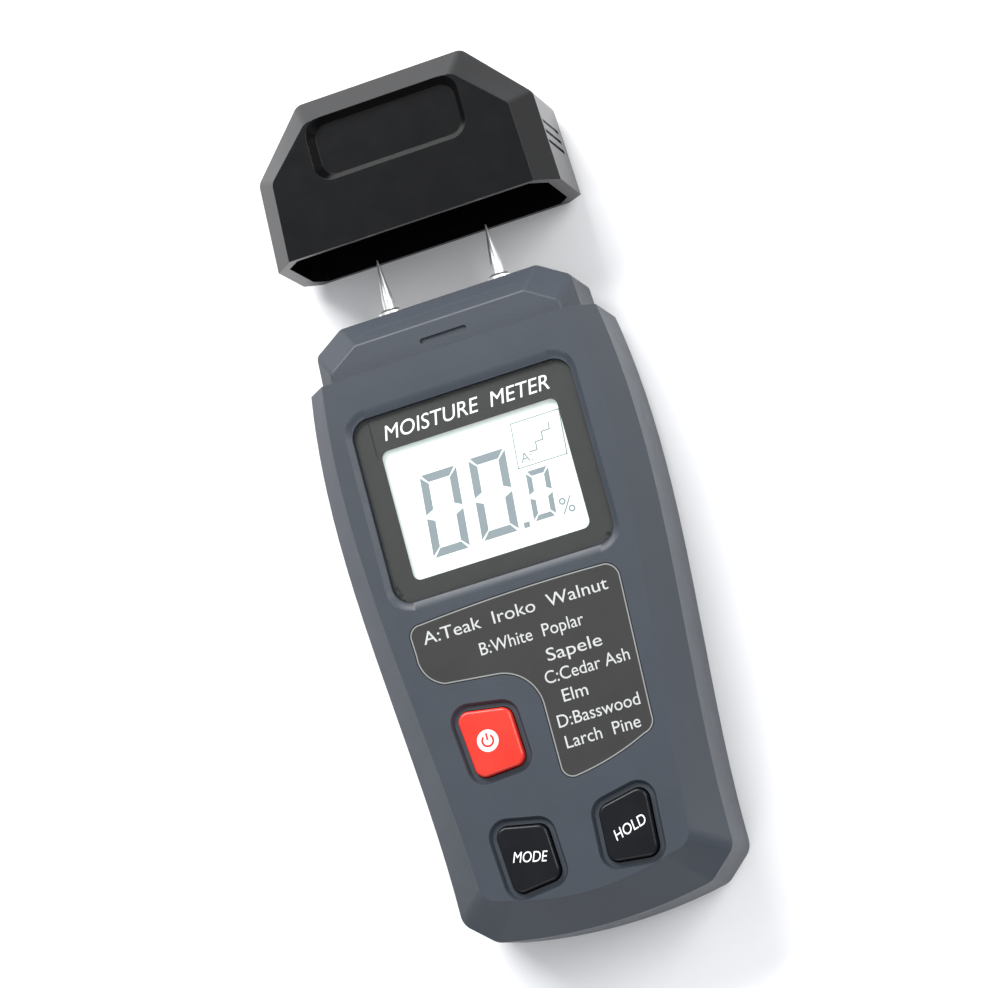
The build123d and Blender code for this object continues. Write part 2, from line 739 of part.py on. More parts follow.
for lead_name, lead_x in (("red_lead", -4.0), ("black_lead", 4.0)):
    lead_out_y = snap_top_y + 9.0
    with BuildPart() as lead:
        with BuildLine() as route:
            FilletPolyline(
                (lead_x, snap_top_y, battery_mid_z),
                (lead_x, lead_out_y, battery_mid_z),
                (lead_x, lead_out_y, board_bottom),
                radius=lead_radius,
            )
        with BuildSketch(Plane((lead_x, snap_top_y, battery_mid_z), z_dir=(0, 1, 0))):
            Circle(lead_diameter / 2)
        sweep()
    write(lead.part, lead_name)

with BuildPart() as battery_pad:
    with Locations((0, battery_foot_y + battery_length / 2, (door_thickness + door_gap + battery_floor) / 2)):
        Box(battery_width - 4, battery_length - 8, battery_floor - door_thickness - door_gap)
write(battery_pad.part, "battery_pad")

# ---- Screws ----
with BuildPart() as case_screws:
    with BuildSketch(Plane.XY.offset(case_screw_head_depth)):
        with Locations(boss_places):
            Circle(case_screw_diameter / 2)
    extrude(amount=case_screw_length)
    with BuildSketch(Plane.XY.offset(case_screw_head_depth)):
        with Locations(boss_places):
            Circle(case_screw_head / 2)
    extrude(amount=-1.8)
    for place in boss_places:
        with Locations((place[0], place[1], case_screw_head_depth - 1.8)):
            Box(2.6, 0.6, 1.4, mode=Mode.SUBTRACT)
            Box(0.6, 2.6, 1.4, mode=Mode.SUBTRACT)
write(case_screws.part, "case_screws")

with BuildPart() as board_screws:
    with BuildSketch(Plane.XY.offset(board_bottom)):
        with Locations(post_places):
            Circle(board_screw_diameter / 2)
    extrude(amount=3.2)
    with BuildSketch(Plane.XY.offset(board_bottom)):
        with Locations(post_places):
            Circle(board_screw_diameter * 0.9)
    extrude(amount=-1.2)
write(board_screws.part, "board_screws")

# ---- Cap, standing clear of the pins, with a wide mouth for the head and a narrower room for the pins ----
mouth_low = head_back - cap_clearance
mouth_high = head_front + cap_clearance
with BuildPart() as mouth_room:
    low_face = head_outline(mouth_low, 2.4, 0, cap_clearance, base=4)
    low_wide = head_outline(mouth_low + back_bevel, 0, 0, cap_clearance, base=4)
    high_wide = head_outline(bevel_level + cap_clearance, 0, 0, cap_clearance, base=4)
    high_face = head_outline(mouth_high, head_front_run, 0, cap_clearance, base=4)
    loft(sections=[low_face, low_wide], ruled=True)
    extrude(low_wide, amount=bevel_level + cap_clearance - mouth_low - back_bevel)
    loft(sections=[high_wide, high_face], ruled=True)

recess_level = front_level - cap_recess_depth
pin_room_height = 2 * (recess_level - cap_front_wall - pin_level)
pin_room_end = cap_mouth_y + cap_length - cap_end_wall
pin_room_start = cap_mouth_y + head_length - 1.0
pin_room_half = pin_spacing / 2 + collar_diameter / 2 + 2.0
with BuildPart() as pin_room:
    with BuildSketch(Plane.XY.offset(pin_level - pin_room_height / 2)):
        with Locations((0, (pin_room_start + pin_room_end) / 2)):
            RectangleRounded(2 * pin_room_half, pin_room_end - pin_room_start, 2)
    extrude(amount=pin_room_height)

recess_start_y = cap_mouth_y + head_length + cap_recess_past_head
recess_end_y = cap_mouth_y + cap_length - cap_recess_from_end
recess_mid_y = (recess_start_y + recess_end_y) / 2
recess_length = recess_end_y - recess_start_y
with BuildPart() as thumb_recess:
    with BuildSketch(Plane.XY.offset(recess_level)) as recess_floor_sketch:
        with Locations((0, recess_mid_y)):
            RectangleRounded(2 * cap_recess_half - 3.0, recess_length - 3.0, 3)
    with BuildSketch(Plane.XY.offset(front_level + 0.1)) as recess_mouth_sketch:
        with Locations((0, recess_mid_y)):
            RectangleRounded(2 * cap_recess_half, recess_length, 4)
    loft(sections=[recess_floor_sketch.sketch, recess_mouth_sketch.sketch], ruled=True)

with BuildPart() as cap:
    loft(sections=[cap_outline(0, back_bevel, 3.0), cap_outline(back_bevel)], ruled=True)
    extrude(cap_outline(back_bevel), amount=crease_level - back_bevel)
    loft(sections=[cap_outline(crease_level), cap_outline(front_level, front_shoulder_run, 6.0)], ruled=True)
    add(mouth_room.part.moved(Location((0, cap_off, 0))), mode=Mode.SUBTRACT)
    add(pin_room.part, mode=Mode.SUBTRACT)
    add(thumb_recess.part, mode=Mode.SUBTRACT)
    for groove in range(groove_count):
        groove_y = cap_mouth_y + groove_start + groove * groove_pitch
        with Locations((-shoulder_half, groove_y, pin_level), (shoulder_half, groove_y, pin_level)):
            Box(2 * groove_depth + 0.6, groove_width, groove_length, mode=Mode.SUBTRACT)
write(cap.part, "cap")
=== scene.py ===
"""Looks of a two-pin wood moisture meter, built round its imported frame."""

import math

import bmesh
import bpy
from mathutils import Matrix, Vector


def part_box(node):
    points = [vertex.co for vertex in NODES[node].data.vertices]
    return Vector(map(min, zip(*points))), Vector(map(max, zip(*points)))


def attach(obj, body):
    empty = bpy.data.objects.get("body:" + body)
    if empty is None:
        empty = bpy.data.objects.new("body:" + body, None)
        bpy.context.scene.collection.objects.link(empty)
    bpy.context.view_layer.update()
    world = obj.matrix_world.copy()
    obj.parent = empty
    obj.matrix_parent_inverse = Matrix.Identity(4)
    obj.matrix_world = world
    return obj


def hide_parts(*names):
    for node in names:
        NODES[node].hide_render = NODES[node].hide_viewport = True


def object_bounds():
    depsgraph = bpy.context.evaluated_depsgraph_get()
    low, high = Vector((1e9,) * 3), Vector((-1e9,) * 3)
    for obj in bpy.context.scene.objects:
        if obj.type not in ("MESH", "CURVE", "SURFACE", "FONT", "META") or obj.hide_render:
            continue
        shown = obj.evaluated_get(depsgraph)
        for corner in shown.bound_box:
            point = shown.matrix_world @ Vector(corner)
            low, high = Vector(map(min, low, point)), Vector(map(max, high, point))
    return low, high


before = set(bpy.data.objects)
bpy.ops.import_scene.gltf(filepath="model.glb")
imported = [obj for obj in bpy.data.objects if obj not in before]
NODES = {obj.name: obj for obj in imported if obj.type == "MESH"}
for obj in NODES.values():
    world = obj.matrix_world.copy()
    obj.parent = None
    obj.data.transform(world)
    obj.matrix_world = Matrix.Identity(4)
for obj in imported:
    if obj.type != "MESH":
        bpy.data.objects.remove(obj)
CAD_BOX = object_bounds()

bl_info = {
    "name": "Moisture Meter Looks",
    "version": (1, 0, 0),
    "blender": (4, 5, 0),
    "location": "3D View > Sidebar > Moisture Meter",
    "description": "Shells, prints and finishes of a two-pin wood moisture meter",
    "category": "Object",
}

MM = 0.001
PRINT_RISE = 0.02 * MM  # height of an ink layer above what it is printed on
CAPITAL_SHARE = 0.72  # height of the built-in face's capitals as a share of its size
SMOOTH_BELOW = math.radians(32)  # edges flatter than this are shaded smooth


# ---------------------------------------------------------------- colour and shader helpers
def linear(code):
    """Linear RGBA of an sRGB hex colour."""
    channels = [int(code[i : i + 2], 16) / 255 for i in (1, 3, 5)]
    bent = [c / 12.92 if c <= 0.04045 else ((c + 0.055) / 1.055) ** 2.4 for c in channels]
    return (*bent, 1.0)


def add_node(tree, kind, settings=None, **links):
    """Add a shader node, set its settings and fill its inputs from values or other sockets."""
    made = tree.nodes.new(kind)
    for key, value in (settings or {}).items():
        setattr(made, key, value)
    for key, value in links.items():
        socket = made.inputs[int(key[1:]) if key[1:].isdigit() else key.replace("_", " ")]
        if isinstance(value, bpy.types.NodeSocket):
            tree.links.new(value, socket)
        else:
            socket.default_value = value
    return made


def new_material(name):
    """Empty node material with its output and a Principled shader."""
    material = bpy.data.materials.new(name)
    material.use_nodes = True
    tree = material.node_tree
    tree.nodes.clear()
    output = add_node(tree, "ShaderNodeOutputMaterial")
    shader = add_node(tree, "ShaderNodeBsdfPrincipled")
    tree.links.new(shader.outputs[0], output.inputs[0])
    return material, tree, shader


def object_place(tree):
    """Object coordinates, in metres from the frame's origin."""
    return add_node(tree, "ShaderNodeTexCoord").outputs["Object"]


def grain(tree, size_mm, detail=3.0):
    """Noise whose lumps are about size_mm across."""
    place = object_place(tree)
    links = {"Vector": place, "Scale": 1000 / size_mm, "Detail": detail, "Roughness": 0.6}
    return add_node(tree, "ShaderNodeTexNoise", None, **links).outputs["Fac"]


def spread(tree, source, low, high):
    """Map a 0 to 1 source onto the range low to high."""
    links = {"Value": source, "i1": 0.3, "i2": 0.7, "i3": low, "i4": high}
    return add_node(tree, "ShaderNodeMapRange", None, **links).outputs[0]


def bump(tree, source, height_mm):
    """Bump normal of a source whose full height is height_mm."""
    links = {"Height": source, "Distance": height_mm * MM}
    return add_node(tree, "ShaderNodeBump", None, **links).outputs[0]


def wave_scale(spacing_mm):
    """Scale of a wave texture whose bands are spacing_mm apart."""
    return 2 * math.pi / 20 / (spacing_mm * MM)


def two_tones(tree, source, dark, light):
    """Blend of two close colours by a source."""
    links = {"i0": source, "i6": linear(dark), "i7": linear(light)}
    return add_node(tree, "ShaderNodeMix", {"data_type": "RGBA"}, **links).outputs[2]


def moulded_plastic(name, dark, light, roughness, texture_mm, texture_height, sheen=0.5):
    """Injection-moulded plastic: eroded-mould texture, slow colour drift, uneven gloss."""
    material, tree, shader = new_material(name)
    tone = two_tones(tree, grain(tree, 14.0, 2.0), dark, light)
    tree.links.new(tone, shader.inputs["Base Color"])
    low, high = roughness
    tree.links.new(spread(tree, grain(tree, 5.0), low, high), shader.inputs["Roughness"])
    fine = grain(tree, texture_mm, 2.0)
    tree.links.new(bump(tree, fine, texture_height), shader.inputs["Normal"])
    shader.inputs["IOR"].default_value = 1.5
    shader.inputs["Specular IOR Level"].default_value = sheen
    return material


def satin_metal(name, dark, light, tone_mm, roughness, gloss_mm):
    """Metal with a faint drift of tone and an uneven gloss."""
    material, tree, shader = new_material(name)
    tree.links.new(two_tones(tree, grain(tree, tone_mm), dark, light), shader.inputs["Base Color"])
    shader.inputs["Metallic"].default_value = 1.0
    low, high = roughness
    tree.links.new(spread(tree, grain(tree, gloss_mm), low, high), shader.inputs["Roughness"])
    return material, tree, shader


def casing_abs(dark, light):
    """Spark-eroded ABS: a dry blue-grey with a fine tooth that breaks up the highlights."""
    return moulded_plastic("casing_abs", dark, light, (0.46, 0.51), 0.45, 0.022)


def cap_abs():
    """Black ABS from a polished mould: broad soft highlights and faint handling marks."""
    return moulded_plastic("cap_abs", "#050506", "#08090A", (0.22, 0.26), 0.9, 0.003, sheen=0.25)


def red_key_abs():
    """Bright red ABS key cap with a satin top."""
    return moulded_plastic("red_key_abs", "#CC2619", "#D83325", (0.28, 0.38), 0.6, 0.008)


def black_key_abs():
    """Black ABS key cap with a satin top that catches a soft edge light."""
    return moulded_plastic("black_key_abs", "#0A0B0F", "#101117", (0.25, 0.36), 0.6, 0.008, sheen=0.25)


def mask_ink():
    """Dark screen print behind the lens: an even, warm near-black."""
    return moulded_plastic("mask_ink", "#272625", "#2A2928", (0.42, 0.48), 2.0, 0.0005)


def legend_film():
    """Matt polyester label film: dark, with a fine sand tooth."""
    return moulded_plastic("legend_film", "#1A1918", "#222120", (0.5, 0.62), 0.35, 0.012)


def rating_film():
    """Pale silver polyester film of the blank plate on the back."""
    return moulded_plastic("rating_film", "#A9ACAE", "#B7BABC", (0.35, 0.45), 0.4, 0.006)


def clear_acrylic():
    """Clear acrylic window: see-through, with a thin sheen that grows towards grazing angles."""
    material, tree, shader = new_material("clear_acrylic")
    tree.nodes.remove(shader)
    clear = add_node(tree, "ShaderNodeBsdfTransparent", None, Color=(0.97, 0.98, 0.98, 1))
    haze = spread(tree, grain(tree, 9.0), 0.03, 0.07)
    gloss = add_node(tree, "ShaderNodeBsdfGlossy", None, Color=(0.45, 0.45, 0.45, 1), Roughness=haze)
    share = add_node(tree, "ShaderNodeFresnel", None, IOR=1.49).outputs[0]
    # the sheen belongs to the outer face and takes no light from what lies behind it
    inner = add_node(tree, "ShaderNodeNewGeometry").outputs["Backfacing"]
    shadow = add_node(tree, "ShaderNodeLightPath").outputs["Is Shadow Ray"]
    for left_out in (inner, shadow):
        kept = add_node(tree, "ShaderNodeMath", {"operation": "SUBTRACT"}, i0=1.0, i1=left_out).outputs[0]
        share = add_node(tree, "ShaderNodeMath", {"operation": "MULTIPLY"}, i0=share, i1=kept).outputs[0]
    links = {"i0": share, "i1": clear.outputs[0], "i2": gloss.outputs[0]}
    mixed = add_node(tree, "ShaderNodeMixShader", None, **links)
    output = next(n for n in tree.nodes if n.type == "OUTPUT_MATERIAL")
    tree.links.new(mixed.outputs[0], output.inputs[0])
    return material


def display_glass_painted_glow():
    """Reflective liquid-crystal panel: nearly white with a hint of green, with a painted glow that makes
    it brighter than the room.
    """
    material, tree, shader = new_material("display_glass_painted_glow")
    tone = two_tones(tree, grain(tree, 18.0, 1.0), "#DDE7E0", "#E6EEE8")
    tree.links.new(tone, shader.inputs["Base Color"])
    tree.links.new(spread(tree, grain(tree, 3.0), 0.35, 0.45), shader.inputs["Roughness"])
    # painted glow: a faint emission on the unlit panel stands in for the light it reflects
    shader.inputs["Emission Color"].default_value = linear("#F2FAF5")
    shader.inputs["Emission Strength"].default_value = 0.3
    return material


def segment_ink():
    """Switched-on liquid-crystal segments: a translucent mid grey, not quite black."""
    return moulded_plastic("segment_ink", "#7C868A", "#848D91", (0.4, 0.5), 0.8, 0.001)


def white_ink():
    """White screen print, slightly uneven where it is thin."""
    return moulded_plastic("white_ink", "#E4E5E5", "#EFEFEF", (0.4, 0.55), 0.5, 0.004)


def pale_ink():
    """Grey-white print of the legend, thinner and softer than the title's."""
    return moulded_plastic("pale_ink", "#ACAEAE", "#BCBEBD", (0.45, 0.6), 0.4, 0.004)


def border_ink():
    """Grey line print round the legend, a step darker than its lettering."""
    return moulded_plastic("border_ink", "#7C7E7D", "#898B8A", (0.45, 0.6), 0.4, 0.004)


def plated_steel():
    """Nickel-plated steel pin: bright, with fine turning rings across its length."""
    material, tree, shader = satin_metal("plated_steel", "#E6E6E5", "#F2F2F1", 2.0, (0.3, 0.4), 0.8)
    links = {"Vector": object_place(tree), "Scale": wave_scale(0.35)}
    rings = add_node(tree, "ShaderNodeTexWave", {"bands_direction": "Y"}, **links)
    tree.links.new(bump(tree, rings.outputs["Fac"], 0.01), shader.inputs["Normal"])
    return material


def zinc_steel():
    """Zinc-plated screws: duller than the pins, with a grainy plating."""
    material, tree, shader = satin_metal("zinc_steel", "#A8A8A6", "#BDBDBB", 0.7, (0.28, 0.42), 0.5)
    tree.links.new(bump(tree, grain(tree, 0.3), 0.01), shader.inputs["Normal"])
    return material


def turned_brass():
    """Turned brass sockets and sprung brass strips: warm yellow, softly worn."""
    return satin_metal("turned_brass", "#B08D4A", "#C6A25C", 1.5, (0.25, 0.38), 0.8)[0]


def board_laminate():
    """Glass-fibre board under green solder mask, with the weave just showing."""
    material, tree, shader = new_material("board_laminate")
    tone = two_tones(tree, grain(tree, 2.2), "#0E4A2A", "#17603A")
    tree.links.new(tone, shader.inputs["Base Color"])
    tree.links.new(spread(tree, grain(tree, 1.0), 0.3, 0.42), shader.inputs["Roughness"])
    links = {"Vector": object_place(tree), "Scale": wave_scale(0.6)}
    weave = add_node(tree, "ShaderNodeTexWave", None, **links)
    tree.links.new(bump(tree, weave.outputs["Fac"], 0.01), shader.inputs["Normal"])
    return material


def dark_epoxy():
    """Moulded black epoxy of chips and switch bodies."""
    return moulded_plastic("dark_epoxy", "#141416", "#1D1D20", (0.45, 0.6), 0.4, 0.01)


def ivory_nylon():
    """Natural nylon of the display holder."""
    return moulded_plastic("ivory_nylon", "#D9D6CC", "#E3E0D7", (0.4, 0.5), 0.7, 0.008)


def battery_jacket():
    """Printed steel battery jacket, plain dark blue-grey."""
    return moulded_plastic("battery_jacket", "#26303F", "#2E3A4C", (0.25, 0.36), 1.2, 0.004)


def red_pvc():
    """Red PVC lead insulation."""
    return moulded_plastic("red_pvc", "#A81812", "#BA2018", (0.4, 0.5), 0.5, 0.004)


def black_pvc():
    """Black PVC lead insulation."""
    return moulded_plastic("black_pvc", "#101012", "#18181A", (0.4, 0.5), 0.5, 0.004)


def cell_foam():
    """Open-cell foam pad, dark grey and pitted."""
    return moulded_plastic("cell_foam", "#2C2C2E", "#3A3A3D", (0.8, 0.95), 0.5, 0.12)


def studio_paper():
    """Smooth white paper of the floor, with a very slight tooth."""
    return moulded_plastic("studio_paper", "#EDEDEE", "#F3F3F4", (0.7, 0.85), 6.0, 0.02)


# ---------------------------------------------------------------- mesh helpers
def only(piece):
    """Select one object and make it active, with nothing else selected."""
    if bpy.context.object and bpy.context.object.mode != "OBJECT":
        bpy.ops.object.mode_set(mode="OBJECT")
    bpy.ops.object.select_all(action="DESELECT")
    piece.select_set(True)
    bpy.context.view_layer.objects.active = piece


def dress(names, material):
    """Give CAD nodes their material."""
    for name in names:
        for slot in NODES[name].material_slots:
            slot.material = material


def settle(piece, body, slot_name, material, *replaced):
    """Bake the piece's place into its mesh, give it its material and tie it to its body."""
    only(piece)
    bpy.ops.object.transform_apply(location=True, rotation=True, scale=True)
    piece.data.materials.clear()
    piece.data.materials.append(material)
    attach(piece, body)
    if replaced:
        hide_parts(*replaced)
    return piece


def merged_copy(node, name, whole_flats=True):
    """Copy of a CAD node with its loose triangles joined and, if wanted, its flat faces made whole."""
    piece = bpy.data.objects.new(name, NODES[node].data.copy())
    bpy.context.scene.collection.objects.link(piece)
    piece.data.materials.clear()
    only(piece)
    bpy.ops.object.mode_set(mode="EDIT")
    bpy.ops.mesh.select_all(action="SELECT")
    bpy.ops.mesh.remove_doubles(threshold=0.002 * MM)
    bpy.ops.mesh.customdata_custom_splitnormals_clear()
    if whole_flats:
        bpy.ops.mesh.dissolve_limited(angle_limit=math.radians(0.6))
    bpy.ops.object.mode_set(mode="OBJECT")
    return piece


def soften(piece, width, angle=28.0, segments=3):
    """Round the edges sharper than an angle and shade what is left smooth."""
    only(piece)
    edges = piece.modifiers.new("edge_round", "BEVEL")
    edges.width = width
    edges.segments = segments
    edges.limit_method = "ANGLE"
    edges.angle_limit = math.radians(angle)
    edges.use_clamp_overlap = True
    edges.miter_outer = "MITER_ARC"
    bpy.ops.object.modifier_apply(modifier=edges.name)
    bpy.ops.object.shade_smooth_by_angle(angle=SMOOTH_BELOW)
    flats = piece.modifiers.new("flat_normals", "WEIGHTED_NORMAL")
    flats.keep_sharp = True
    flats.weight = 100  # the largest faces alone say how a flat is lit
    bpy.ops.object.modifier_apply(modifier=flats.name)
    return piece


def printed_text(
    name, words, size, place, material, body, width=None, slant=0.0, turn=0.0, slot_name="white_print"
):
    """Flat lettering: size is the height of its capitals and width that of the whole line."""
    bpy.ops.object.select_all(action="DESELECT")
    bpy.ops.object.text_add(location=(0, 0, 0))
    text = bpy.context.object
    text.name = name
    text.data.body = words
    text.data.shear = slant
    text.data.resolution_u = 4
    text.data.size = size / CAPITAL_SHARE
    bpy.context.view_layer.update()
    bpy.ops.object.convert(target="MESH")
    ends = [vertex.co.x for vertex in text.data.vertices]
    stretch = width / (max(ends) - min(ends)) if width else 1.0
    text.scale = (stretch, 1, 1)
    text.rotation_euler = (0, 0, turn)
    text.location = place
    return settle(text, body, slot_name, material)


def flat_shape(name, outline, level):
    """One flat face with its outline at a level, facing up."""
    bpy.ops.object.select_all(action="DESELECT")
    bpy.ops.mesh.primitive_circle_add(vertices=len(outline), fill_type="NGON", radius=1.0)
    shape = bpy.context.object
    shape.name = name
    for vertex, (x, y) in zip(shape.data.vertices, outline):
        vertex.co = (x, y, level)
    only(shape)
    bpy.ops.object.mode_set(mode="EDIT")
    bpy.ops.mesh.select_all(action="SELECT")
    bpy.ops.mesh.normals_make_consistent(inside=False)
    bpy.ops.object.mode_set(mode="OBJECT")
    if shape.data.polygons[0].normal.z < 0:
        shape.data.flip_normals()
    return shape


def join_shapes(shapes, name):
    """Join several shapes into one piece."""
    only(shapes[0])
    for shape in shapes:
        shape.select_set(True)
    if len(shapes) > 1:
        bpy.ops.object.join()
    shapes[0].name = name
    return shapes[0]


def middle(node):
    """Centre of a CAD node's box."""
    low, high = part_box(node)
    return (low + high) / 2


# ---------------------------------------------------------------- sizes and colours a user may change
class MeterShells(bpy.types.PropertyGroup):
    """Roundings and colours of the casing, its door and the cap."""

    edge_round: bpy.props.FloatProperty(
        name="Edge rounding",
        description="Radius left by the mould on the outer edges of the casing",
        default=0.45 * MM,
        unit="LENGTH",
    )
    door_edge_round: bpy.props.FloatProperty(
        name="Door edge rounding",
        description="Radius on the edges of the battery door and its grip grooves",
        default=0.12 * MM,
        unit="LENGTH",
    )
    cap_edge_round: bpy.props.FloatProperty(
        name="Cap edge rounding",
        description="Radius on the outer edges of the cap",
        default=0.9 * MM,
        unit="LENGTH",
    )
    casing_dark: bpy.props.StringProperty(
        name="Casing dark tone", description="Darker tone of the grey casing", default="#2B3139"
    )
    casing_light: bpy.props.StringProperty(
        name="Casing light tone", description="Lighter tone of the grey casing", default="#303740"
    )


class MeterPrints(bpy.types.PropertyGroup):
    """Sizes of the printed lettering, the legend's border and the display's digits."""

    title_height: bpy.props.FloatProperty(
        name="Title height",
        description="Height of the capitals of the title over the display",
        default=3.3 * MM,
        unit="LENGTH",
    )
    title_width: bpy.props.FloatProperty(
        name="Title width",
        description="Width of the title over the display",
        default=37.0 * MM,
        unit="LENGTH",
    )
    legend_height: bpy.props.FloatProperty(
        name="Legend height",
        description="Height of the capitals of the legend",
        default=2.75 * MM,
        unit="LENGTH",
    )
    border_width: bpy.props.FloatProperty(
        name="Legend border",
        description="Width of the pale line round the legend",
        default=0.24 * MM,
        unit="LENGTH",
    )
    digit_slant: bpy.props.FloatProperty(
        name="Digit slant",
        description="Lean of the display's digits",
        default=math.radians(5),
        subtype="ANGLE",
    )


# ---------------------------------------------------------------- pieces
class METER_OT_stage(bpy.types.Operator):
    """Floor, studio lights and camera."""

    bl_idname = "meter.stage"
    bl_label = "Stage"

    def execute(self, context):
        bpy.ops.object.select_all(action="DESELECT")
        bpy.ops.mesh.primitive_plane_add(size=6, location=(0, 0, -0.02 * MM))
        floor = context.object
        floor.name = "paper_sweep"
        floor.data.materials.append(studio_paper())

        self.camera(context)
        context.scene.view_settings.view_transform = "Standard"
        for name, place, size, power in (
            ("key_panel", (-0.3, 0.85, 0.7), (0.8, 0.5), 19),
            ("fill_panel", (0.8, 0.3, 0.7), (0.6, 0.8), 8),
            ("foot_panel", (-0.2, -0.8, 0.6), (0.8, 0.4), 2.6),
        ):
            self.lamp(context, name, place, size, power)
        world = bpy.data.worlds.new("studio_room")
        context.scene.world = world
        world.use_nodes = True
        room = world.node_tree.nodes["Background"]
        room.inputs["Color"].default_value = linear("#F4F6FA")
        room.inputs["Strength"].default_value = 0.6
        return {"FINISHED"}

    def camera(self, context):
        """Long lens, leaning a little to the meter's right and towards its foot."""
        low, high = CAD_BOX
        centre = (Vector(low) + Vector(high)) / 2
        lean_right, lean_foot, roll = math.radians(13), math.radians(10.8), math.radians(-15.5)
        distance = 0.8
        target = Vector((centre.x, centre.y, high[2] * 0.6))
        back = Vector((math.tan(lean_right), -math.tan(lean_foot), 1)).normalized()
        upward = Vector((-math.sin(roll), math.cos(roll), 0))
        side = upward.cross(back).normalized()
        upward = back.cross(side)
        turn = Matrix((side, upward, back)).transposed().to_4x4()
        bpy.ops.object.camera_add()
        camera = context.object
        camera.name = "studio_camera"
        camera.matrix_world = Matrix.Translation(target + back * distance) @ turn
        camera.data.lens = 138
        context.scene.camera = camera

    def lamp(self, context, name, place, size, power):
        """Soft panel that faces the middle of the meter."""
        bpy.ops.object.light_add(type="AREA", location=place)
        lamp = context.object
        lamp.name = name
        lamp.data.shape = "RECTANGLE"
        lamp.data.size, lamp.data.size_y = size
        lamp.data.energy = power
        aim = Vector((0, 0.03, 0))
        lamp.rotation_euler = (aim - Vector(place)).to_track_quat("-Z", "Y").to_euler()


class METER_OT_shells(bpy.types.Operator):
    """Front and back shells, and the battery door."""

    bl_idname = "meter.shells"
    bl_label = "Casing shells"

    def execute(self, context):
        sizes = context.scene.meter_shells
        plastic = casing_abs(sizes.casing_dark, sizes.casing_light)
        for node, body, width in (
            ("front_case", "meter", sizes.edge_round),
            ("back_case", "meter", sizes.edge_round),
            ("battery_door", "battery_door", sizes.door_edge_round),
        ):
            # a flat face cut by rows of grooves is left in triangles, as it cannot be made whole
            grooved = node == "battery_door"
            piece = soften(merged_copy(node, node + "_shell", not grooved), width)
            settle(piece, body, "casing", plastic, node)
        return {"FINISHED"}


class METER_OT_cap(bpy.types.Operator):
    """Black pull-off cap."""

    bl_idname = "meter.cap"
    bl_label = "Cap"

    def execute(self, context):
        sizes = context.scene.meter_shells
        piece = soften(merged_copy("cap", "cap_shell"), sizes.cap_edge_round, 20.0, 4)
        settle(piece, "cap", "cap_plastic", cap_abs(), "cap")
        return {"FINISHED"}


class METER_OT_display(bpy.types.Operator):
    """Lens, printed mask, title, glass and the digits shown on it."""

    bl_idname = "meter.display"
    bl_label = "Display"

    def execute(self, context):
        sizes = context.scene.meter_prints
        dress(["display_lens"], clear_acrylic())
        dress(["display_mask"], mask_ink())
        dress(["lcd_glass", "lcd_reflector"], display_glass_painted_glow())
        dress(["lcd_frame"], ivory_nylon())
        dress(["zebra_strips"], black_pvc())
        low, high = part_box("display_lens")
        ink = white_ink()
        title_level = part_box("display_mask")[1].z + PRINT_RISE
        title_place = (low.x + 6.2 * MM, high.y - 5.6 * MM, title_level)
        words, height, width = "MOISTURE  METER", sizes.title_height, sizes.title_width
        printed_text("title_print", words, height, title_place, ink, "meter", width, slant=0.22)
        self.digits(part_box("lcd_glass")[1].z + PRINT_RISE, sizes.digit_slant)
        return {"FINISHED"}

    def digits(self, level, slant):
        """Two tall digits, one short digit, a point, a percent sign and a step chart.

        Places and sizes are millimetres from the lower left corner of the lit area.
        """
        ink = segment_ink()
        left, base = -18.9 * MM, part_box("lcd_glass")[0].y + 3.4 * MM
        break_gap = 0.35  # half the gap between two segments
        chart_stroke, frame_stroke = 0.28, 0.22
        bars = []

        def place(x, y):
            return (left + x * MM + math.tan(slant) * y * MM, base + y * MM)

        def bar(points):
            bars.append(flat_shape("bar", [place(x, y) for x, y in points], level))

        def block(x0, y0, x1, y1):
            bar([(x0, y0), (x1, y0), (x1, y1), (x0, y1)])

        def zero(x, y, wide, tall, thick):
            start, end, top = x + break_gap, x + wide - break_gap, y + tall
            bar([(start, y), (end, y), (x + wide - thick, y + thick), (x + thick, y + thick)])
            bar([(start, top), (x + thick, top - thick), (x + wide - thick, top - thick), (end, top)])
            for edge, inner in ((x, x + thick), (x + wide, x + wide - thick)):
                for upper in (0, 1):
                    low = y + upper * tall / 2 + break_gap
                    high = y + (upper + 1) * tall / 2 - break_gap
                    low_inner = low + (thick / 2 if upper else thick)
                    high_inner = high - (thick if upper else thick / 2)
                    bar([(edge, low), (inner, low_inner), (inner, high_inner), (edge, high)])

        zero(3.9, 3.6, 8.2, 17.6, 1.75)
        zero(14.9, 3.9, 8.2, 17.6, 1.75)
        zero(26.6, 4.6, 5.0, 10.6, 1.15)
        block(24.3, 3.9, 25.6, 5.1)
        steps = [(28.2, 18.9), (29.8, 18.9), (29.8, 20.6), (31.4, 20.6)]
        steps += [(31.4, 22.3), (33.2, 22.3), (33.2, 24.0)]
        for (x0, y0), (x1, y1) in zip(steps, steps[1:]):
            block(x0, y0, x0 + max(x1 - x0, chart_stroke), y0 + max(y1 - y0, chart_stroke))
        x0, y0, x1, y1 = 25.2, 16.2, 36.2, 26.0
        block(x0, y0, x1, y0 + frame_stroke)
        block(x0, y1 - frame_stroke, x1, y1)
        block(x0, y0, x0 + frame_stroke, y1)
        block(x1 - frame_stroke, y0, x1, y1)
        settle(join_shapes(bars, "digit_segments"), "meter", "mask_print", ink)
        for name, words, height, spot in (
            ("percent_sign", "%", 3.6, (32.6, 4.3)),
            ("group_letter", "A:", 2.2, (26.2, 17.2)),
        ):
            spot = (*place(*spot), level)
            printed_text(name, words, height * MM, spot, ink, "meter", slot_name="mask_print")


